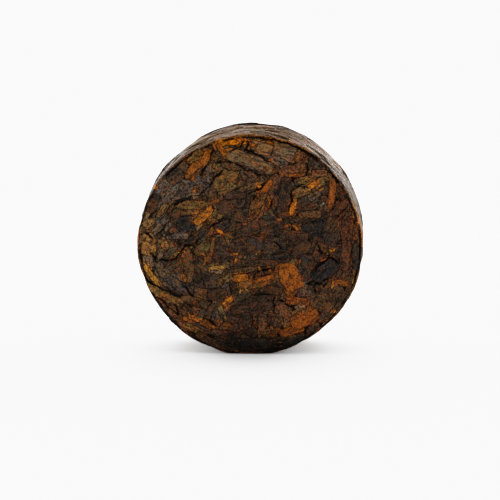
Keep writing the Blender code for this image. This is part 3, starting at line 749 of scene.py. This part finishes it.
def leaf_faces(rows, columns):
    """Quads over the upper side, round the skirt and under the leaf, with a cap at each end."""
    grid = np.arange(rows * columns).reshape(rows, columns)
    quads = np.stack([grid[:-1, :-1], grid[:-1, 1:], grid[1:, 1:], grid[1:, :-1]], axis=-1)
    faces = quads.reshape(-1, 4).tolist()
    top = grid.tolist()
    under = (rows * columns + np.arange(2 * rows).reshape(rows, 2)).tolist()
    for a, b, below_a, below_b in zip(top, top[1:], under, under[1:]):
        faces.append([below_a[0], a[0], b[0], below_b[0]])
        faces.append([a[-1], below_a[1], below_b[1], b[-1]])
        faces.append([*below_a[::-1], *below_b])
    faces.append([*under[0], *top[0][::-1]])
    faces.append([*under[-1][::-1], *top[-1]])
    return faces


def leaf_mesh(leaf, maps, bed):
    """A leaf's points, faces and values, pressed and cracked."""
    height = pressed(leaf.top, leaf.run)
    hollow_shade, *nearby = [bed.sample(values, leaf.run, leaf.around) for values in maps]
    crack = aside = np.full(height.shape, CRACK_REACH)
    if leaf.chart == "front":
        crack, aside = crack_distance(leaf.chart_x, leaf.chart_z)
        height = height - CRACK_DEPTH * np.exp(-((crack / CRACK_WIDTH) ** 2))
    ends = [0, -1]
    low = pressed(leaf.base[:, ends] - SKIRT, leaf.run[:, ends]) - SKIRT
    upper = on_coin(leaf.run, leaf.around, height)
    lower = on_coin(leaf.run[:, ends], leaf.around[:, ends], low)
    over = np.minimum(leaf.run, SPAN - leaf.run) - FLAT - QUARTER / 2
    # painted shade, multiplied into this leaf's colour and its neighbours'
    light = painted_shade_factor(upper, over)
    colour = leaf_colour(leaf) * light[..., None]
    nearby = [values * light for values in nearby]
    seed = np.full(height.shape, leaf.seed)
    inward = np.minimum((1.0 - np.abs(leaf.across)) * leaf.width / 2, leaf.length / 2 - np.abs(leaf.along))
    inward = inward * max(1.0, NARROW / leaf.width)
    others = [*nearby, leaf.along, leaf.sideways, seed, hollow_shade, inward, crack, aside, over]
    values = np.concatenate([colour, np.stack(others, axis=-1)], axis=-1)
    count = values.shape[-1]
    values = np.concatenate([values.reshape(-1, count), values[:, ends].reshape(-1, count)])
    points = np.concatenate([upper.reshape(-1, 3), lower.reshape(-1, 3)])
    return points, leaf_faces(*height.shape), values


def bed_maps(bed, leaves):
    """Maps of how deep each cell lies, from 0 to 1, for the painted shade in hollows, and of the red, green
    and blue around it.
    """
    run = np.minimum(np.arange(bed.rows) * CELL, SPAN)[:, None]
    height = pressed(bed.height, run)
    hollow_shade = np.clip((soften(height, HOLLOW_PASSES, "wrap") - height) / HOLLOW_DEPTH, 0.0, 1.0)
    # cells that no leaf covers take the painted gap shade
    colours = np.array([leaf_colour(leaf) for leaf in leaves] + [GAP_SHADE[:3]])
    return [hollow_shade, *(soften(colours[bed.owner, part], NEARBY_PASSES, "wrap") for part in range(3))]


def make_leaves():
    """One piece for each kind of leaf."""
    bed = Bed()
    leaves = all_leaves()
    for number, leaf in enumerate(leaves):
        bed.add(leaf, number)
    seen = np.bincount(bed.owner[bed.owner >= 0], minlength=len(leaves))
    maps = bed_maps(bed, leaves)
    parts = {piece: MeshParts() for _, piece in TINTS.values()}
    for leaf, cells in zip(leaves, seen):
        if cells >= LEAST_SEEN:
            parts[TINTS[leaf.tint][1]].add(*leaf_mesh(leaf, maps, bed))
    return {name: part.build(name) for name, part in parts.items()}


def make_core():
    """The dark core that shows in the deepest gaps."""
    run = np.linspace(0.0, SPAN, int(SPAN / CORE_STEP))[1:-1, None]
    around = np.linspace(0.0, math.tau, int(GIRTH / CORE_STEP), endpoint=False)[None, :]
    rough = np.sin(3.0 * run + 5 * np.cos(9 * around)) + np.cos(2.2 * run - 21 * around)
    height = pressed(0.0, run) - CORE_DEPTH + CORE_ROUGH * rough
    points = on_coin(run, around, height)
    rows, columns = height.shape
    ends = on_coin(np.array([0.0, SPAN]), np.zeros(2), np.full(2, height.min()))
    grid = np.arange(rows * columns).reshape(rows, columns)
    after = np.roll(grid, -1, axis=1)
    faces = np.stack([grid[:-1], grid[1:], after[1:], after[:-1]], axis=-1).reshape(-1, 4).tolist()
    first, last = rows * columns, rows * columns + 1
    faces += [[first, a, b] for a, b in zip(grid[0], after[0])]
    faces += [[last, b, a] for a, b in zip(grid[-1], after[-1])]
    mesh = bpy.data.meshes.new("tea_core")
    mesh.from_pydata(np.concatenate([points.reshape(-1, 3), ends]), [], faces)
    over = np.minimum(run, SPAN - run) - FLAT + 0.0 * height
    add_attribute(mesh, "over", "FLOAT", np.append(over.ravel(), [-FLAT, -FLAT]))
    mesh.shade_smooth()
    return add_object("tea_core", mesh)


# ---- the materials


class Nodes:
    """Short calls for the materials' and the world's nodes."""

    def __init__(self, tree):
        self.tree = tree

    def new(self, kind, inputs=(), **settings):
        node = self.tree.nodes.new("ShaderNode" + kind)
        for key, value in settings.items():
            setattr(node, key, value)
        self.feed(node, dict(inputs))
        return node

    def feed(self, node, inputs):
        """Gives each named or numbered input a value or another node's output."""
        for key, value in inputs.items():
            if isinstance(value, bpy.types.NodeSocket):
                self.tree.links.new(value, node.inputs[key])
            else:
                node.inputs[key].default_value = value

    def attribute(self, name, output="Fac"):
        return self.new("Attribute", attribute_name=name).outputs[output]

    def place(self):
        return self.new("TexCoord").outputs["Object"]

    def parts(self, vector):
        return self.new("SeparateXYZ", {0: vector}).outputs

    def noise(self, vector, scale, detail=4.0, roughness=0.55, distortion=0.0, output="Fac"):
        inputs = {"Vector": vector, "Scale": scale, "Detail": detail, "Roughness": roughness}
        return self.new("TexNoise", {**inputs, "Distortion": distortion}).outputs[output]

    def cells(self, vector, feature="F1", output="Color"):
        """A field of crisp, uneven cells, each with a random colour."""
        inputs = {"Scale": 1.0, "Vector": vector}
        return self.new("TexVoronoi", inputs, feature=feature).outputs[output]

    def three(self, colour):
        return self.new("SeparateColor", {0: colour}).outputs

    def maths(self, operation, a, b=0.0):
        return self.new("Math", {0: a, 1: b}, operation=operation).outputs[0]

    def times(self, first, *others):
        for other in others:
            first = self.maths("MULTIPLY", first, other)
        return first

    def total(self, *terms):
        """The sum of values, each times its weight."""
        first, *others = [self.times(value, weight) for value, weight in terms]
        for other in others:
            first = self.maths("ADD", first, other)
        return first

    def vector(self, operation, a, b):
        return self.new("VectorMath", {0: a, 1: b}, operation=operation).outputs[0]

    def scaled(self, colour, factor):
        return self.vector("MULTIPLY", colour, factor)

    def spread(self, value, low, high, to_low=0.0, to_high=1.0):
        """value mapped from low..high to to_low..to_high, smoothly and within them."""
        inputs = {"Value": value, "From Min": low, "From Max": high, "To Min": to_low, "To Max": to_high}
        return self.new("MapRange", inputs, interpolation_type="SMOOTHSTEP").outputs["Result"]

    def line(self, value, middle, half, soft):
        """1 where value is within half of middle, falling to 0 over soft."""
        away = self.maths("ABSOLUTE", self.maths("SUBTRACT", value, middle))
        return self.spread(away, half, half + soft, 1.0, 0.0)

    def mix(self, share, a, b):
        return self.new("Mix", {0: share, 6: a, 7: b}, data_type="RGBA").outputs[2]

    def bump(self, height, distance):
        return self.new("Bump", {"Height": height, "Distance": distance}).outputs["Normal"]


def new_material(name):
    """A material, its nodes and its shader."""
    material = bpy.data.materials.new(name)
    material.use_nodes = True
    tree = material.node_tree
    return material, Nodes(tree), tree.nodes["Principled BSDF"]


def leaf_material(name, mottle, warmth, coolness, flecks, gloom, streaks):
    """Pressed leaf: its own tint, mottled and streaked along it, with patches of other hues.

    mottle is how far lightness wanders, warmth the strength of rusty patches and coolness that of
    red, greyish and green ones, flecks and gloom the shares of gold and dark spots, streaks the
    strength of fibres.
    """
    material, n, shader = new_material(name)
    grain = n.scaled(n.attribute("grain", "Vector"), (1.0, 1.0, 60.0))
    place = n.scaled(n.place(), (1000.0, 1000.0, 1000.0))

    def patches(scale, at, detail=4.0, distortion=0.6):
        return n.noise(n.vector("ADD", place, (at, 2.0 * at, 3.0 * at)), scale, detail, 0.62, distortion)

    wander = n.vector("SUBTRACT", n.noise(place, 1.1, 3.0, output="Color"), (0.5, 0.5, 0.5))
    fibre = n.noise(n.scaled(grain, (0.5, 3.6, 1.0)), 1.5, 4.0, 0.7, 0.8)
    broad = n.noise(grain, 0.8, 4.0, 0.6, 0.8)
    middle = patches(3.0, 11.0)
    fine = patches(4.5, 23.0, 3.0, 0.0)
    speck = patches(6.5, 31.0, 1.0, 0.0)
    shreds = n.vector("ADD", n.scaled(grain, (0.8, 1.9, 1.0)), n.scaled(wander, (2.2, 2.2, 0.0)))
    shred_light, shred_hue, _ = n.three(n.cells(shreds))
    shred_edge = n.cells(shreds, "DISTANCE_TO_EDGE", "Distance")
    bits = n.vector("ADD", n.scaled(grain, (2.0, 3.8, 1.0)), n.scaled(wander, (4.0, 4.0, 0.0)))
    bit_light, bit_hue, bit_share = n.three(n.cells(bits))

    inward = n.attribute("inward")
    eaten = n.maths("LESS_THAN", bit_share, n.spread(inward, 0.0, 0.45, 0.62, 0.10))
    blend = n.maths("MAXIMUM", eaten, n.spread(patches(1.0, 17.0), 0.42, 0.60, 0.0, 0.35))
    tint = n.mix(blend, n.attribute("tint", "Color"), n.attribute("nearby", "Color"))
    light = n.total(
        (middle, 0.10), (fine, 0.35), (speck, 0.42), (shred_light, 0.05), (bit_light, 0.07), (fibre, streaks)
    )
    level = 0.495 + streaks / 2
    pale = n.scaled(tint, [1.0 + gain * mottle for gain in PALE_GAIN])
    dim = n.scaled(tint, [1.0 - loss * mottle for loss in DIM_LOSS])
    colour = n.mix(n.spread(light, level - 0.10, level + 0.10), dim, pale)

    # Patches of other hues: the noise's scale and place, the cells' part in it, where it sets in,
    # its strength, and what it does to the colour
    hues = (
        (2.8, 37.0, (shred_hue, 0.2), 0.50, warmth, (1.60, 1.10, 0.42)),
        (2.4, 43.0, (bit_hue, 0.2), 0.52, coolness, (1.30, 0.68, 0.74)),
        (2.4, 51.0, (shred_hue, -0.2), 0.30, coolness, (0.68, 0.95, 1.40)),
        (2.8, 59.0, (bit_hue, -0.2), 0.30, coolness, (0.76, 1.16, 0.74)),
    )
    for scale, at, cells, start, strength, factor in hues:
        share = n.spread(n.total((patches(scale, at), 0.8), cells), start, start + 0.10, 0.0, strength)
        colour = n.mix(share, colour, n.scaled(colour, factor))
    gold = n.spread(patches(4.0, 67.0), 0.70 - 0.13 * flecks, 0.74 - 0.13 * flecks, 0.0, 0.75)
    colour = n.mix(gold, colour, GOLD_FLECK)
    dark = n.spread(patches(3.6, 79.0), 0.69 - 0.16 * gloom, 0.74 - 0.16 * gloom, 0.0, 0.8)
    colour = n.mix(dark, colour, DARK_SPOT)

    # The wall's dust and painted sheen, and the painted golden highlight along the rim
    over = n.attribute("over")
    parts = n.parts(n.place())
    dust_and_sheen = n.mix(n.spread(parts["Z"], *TOP_HEIGHTS), WALL_DUST_AND_SHEEN, TOP_DUST_AND_SHEEN)
    dust_and_sheen_patches = n.spread(n.total((patches(0.8, 87.0), 0.5), (broad, 0.5)), 0.40, 0.60, 0.3, 1.4)
    dust_and_sheen_share = n.times(n.spread(over, 0.4, 2.4, *WALL_DUST_AND_SHEEN_SHARES), dust_and_sheen_patches, n.spread(over, -0.05, 0.15))
    colour = n.mix(dust_and_sheen_share, colour, dust_and_sheen)
    rim = n.total((over, 1.0), (middle, 0.4), (broad, 0.3))
    # painted highlight along the rim, fainter on the left
    rim_highlight = n.times(
        n.line(rim, 0.36, 0.11, 0.05),
        n.spread(patches(0.5, 91.0), 0.44, 0.52, 0.0, 0.75),
        n.spread(parts["X"], *RIM_HIGHLIGHT_SIDES, 0.3, 1.0),
    )
    colour = n.mix(rim_highlight, colour, RIM_HIGHLIGHT)

    # Painted shade in gaps: the groove along the rim, seams inside a leaf, edges and hollows, and cracks,
    # each mixed towards the near-black gap shade
    # painted shade of a groove along the rim
    groove = n.times(n.line(rim, 0.05, 0.12, 0.05), n.spread(patches(0.3, 97.0), 0.42, 0.48, 0.0, 0.95))
    seam = n.times(n.spread(shred_edge, 0.04, 0.09, 0.7, 0.0), n.spread(broad, 0.52, 0.57))
    # painted shadow line along leaf borders
    edge = n.times(n.spread(inward, 0.06, 0.12, 0.95, 0.0), n.spread(middle, 0.37, 0.41))
    # painted shade in hollows, with some dark dust
    hollow_shade = n.spread(n.attribute("hollow_shade"), 0.30, 0.95, 0.0, 0.95)
    edge_and_hollow_shade = n.times(n.maths("MAXIMUM", edge, hollow_shade), n.spread(over, 0.3, 0.8, 1.0, 0.25))
    # the cracks' painted shade: a crisp dark line along each
    aside = n.maths("ABSOLUTE", n.total((n.attribute("aside"), 1.0), (middle, 0.5), (1.0, -0.25)))
    crack = n.maths("SUBTRACT", aside, n.spread(broad, 0.35, 0.65, 0.06, 0.15))
    near = n.spread(n.attribute("crack"), 0.15, 0.35, 1.0, 0.0)
    crack = n.times(n.spread(crack, 0.0, 0.04, 0.97, 0.0), near)
    for gap in (groove, seam, edge_and_hollow_shade, crack):
        colour = n.mix(gap, colour, GAP_SHADE)

    dull = n.maths("MAXIMUM", crack, edge_and_hollow_shade)
    gloss = n.spread(parts["Z"], *TOP_HEIGHTS, LEAF_GLOSS, TOP_GLOSS)
    relief = n.total(
        (fibre, 0.5), (fine, 0.6), (middle, 0.4), (shred_light, 0.2), (bit_light, 0.15),
        (n.spread(inward, 0.0, 0.15), 0.6), (crack, -0.8), (groove, -0.5),
    )
    n.feed(shader, {
        "Base Color": colour,
        "Roughness": n.spread(middle, 0.35, 0.65, *LEAF_ROUGHNESS),
        "IOR": LEAF_IOR,
        "Specular IOR Level": n.times(gloss, n.maths("SUBTRACT", 1.0, dull)),
        "Normal": n.bump(relief, LEAF_BUMP),
    })
    return material


def core_material():
    material, n, shader = new_material("tea_core")
    grains = n.noise(n.place(), 1800.0, 5.0, 0.6)
    colour = n.mix(n.spread(grains, 0.35, 0.65), DARK_SPOT, CORE_BROWN)
    # lighter on the wall, like the wall's dust and painted sheen
    dust_and_sheen_share = n.spread(n.attribute("over"), 0.2, 1.0)
    n.feed(shader, {
        "Base Color": n.mix(dust_and_sheen_share, colour, n.scaled(colour, CORE_DUST_AND_SHEEN_GAIN)),
        "Roughness": n.spread(grains, 0.3, 0.7, 0.6, 0.85),
        "Specular IOR Level": LEAF_GLOSS,
        "Normal": n.bump(grains, CORE_BUMP),
    })
    return material


def floor_material():
    material, n, shader = new_material("pale_floor")
    n.feed(shader, {"Base Color": FLOOR_COLOUR, "Roughness": 0.9, "Specular IOR Level": 0.0})
    return material


# ---- the camera and light


def make_camera():
    """The photograph's view, with the shown face's centre at its own pixel."""
    data = bpy.data.cameras.new("camera")
    camera = add_object("camera", data)
    azimuth, elevation = math.radians(CAMERA_AZIMUTH), math.radians(CAMERA_ELEVATION)
    level = math.cos(elevation)
    back = np.array([math.sin(azimuth) * level, -math.cos(azimuth) * level, math.sin(elevation)])
    face_centre = np.array([0.0, -THICKNESS / 2, CENTRE_Z]) * MM
    camera.location = face_centre + back * CAMERA_DISTANCE
    camera.rotation_euler = (math.pi / 2 - elevation, 0.0, azimuth)
    pixels = FACE_RADIUS_PX / (RADIUS * MM) * CAMERA_DISTANCE
    data.sensor_width = SENSOR
    data.lens = pixels / PHOTO_SIDE * SENSOR
    data.shift_x = (PHOTO_SIDE / 2 - FACE_CENTRE_PX[0]) / PHOTO_SIDE
    data.shift_y = (FACE_CENTRE_PX[1] - PHOTO_SIDE / 2) / PHOTO_SIDE
    data.clip_start = 0.01
    data.clip_end = 20.0
    bpy.context.scene.camera = camera


def make_world():
    """White to the camera; to the coin a bright backdrop, a soft box over it and a dim front."""
    world = bpy.data.worlds.new("studio")
    bpy.context.scene.world = world
    world.use_nodes = True
    world.node_tree.nodes.clear()
    n = Nodes(world.node_tree)
    way = n.parts(n.new("TexCoord").outputs["Generated"])
    y, z = way["Y"], way["Z"]
    box = n.times(n.spread(z, 0.0, 0.85, 0.0, SKY_TOP), n.spread(y, -0.6, 0.4))
    backdrop = n.times(n.spread(y, -0.5, 0.5, 0.0, SKY_BACK), n.spread(z, 0.25, 0.7, 1.0, 0.0))
    lights = n.times(n.maths("ADD", box, backdrop), n.spread(z, *HORIZON))
    light = n.maths("ADD", lights, n.spread(z, *HORIZON, SKY_BELOW, SKY_PLAIN))
    lit = n.new("Background", {"Strength": light}).outputs[0]
    seen = n.new("Background", {"Color": (1.0, 1.0, 1.0, 1.0), "Strength": SKY_SEEN}).outputs[0]
    to_camera = n.new("LightPath").outputs["Is Camera Ray"]
    sky = n.new("MixShader", {0: to_camera, 1: lit, 2: seen}).outputs[0]
    n.new("OutputWorld", {"Surface": sky})


def set_exposure():
    """Plain colours, with the overexposed floor held just short of pure white."""
    view = bpy.context.scene.view_settings
    view.view_transform = "Standard"
    view.use_curve_mapping = True
    mapping = view.curve_mapping
    mapping.extend = "HORIZONTAL"
    mapping.clip_max_x = WHITEST[0]
    for channel in mapping.curves[:3]:
        channel.points[-1].location = WHITEST
    curve = mapping.curves[3]
    for place in WHITE_CURVE[1:-1]:
        curve.points.new(*place)
    for point, place in zip(curve.points, WHITE_CURVE):
        point.location = place
    mapping.update()


def make_floor():
    mesh = bpy.data.meshes.new("floor")
    corners = [(x * FLOOR_SIDE, y * FLOOR_SIDE, 0) for x, y in ((-1, -1), (1, -1), (1, 1), (-1, 1))]
    mesh.from_pydata(corners, [], [(0, 1, 2, 3)])
    floor = add_object("floor", mesh)
    mesh.materials.append(floor_material())
    floor.visible_glossy = False


# ---- the scene

make_camera()
set_exposure()
core = make_core()
core.data.materials.append(core_material())
leaf_pieces = make_leaves()
for name, piece in leaf_pieces.items():
    piece.data.materials.append(leaf_material(name, *LOOKS[name]))
for piece in (core, *leaf_pieces.values()):
    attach(piece, "root")
    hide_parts("tea_cake")
make_floor()
make_world()
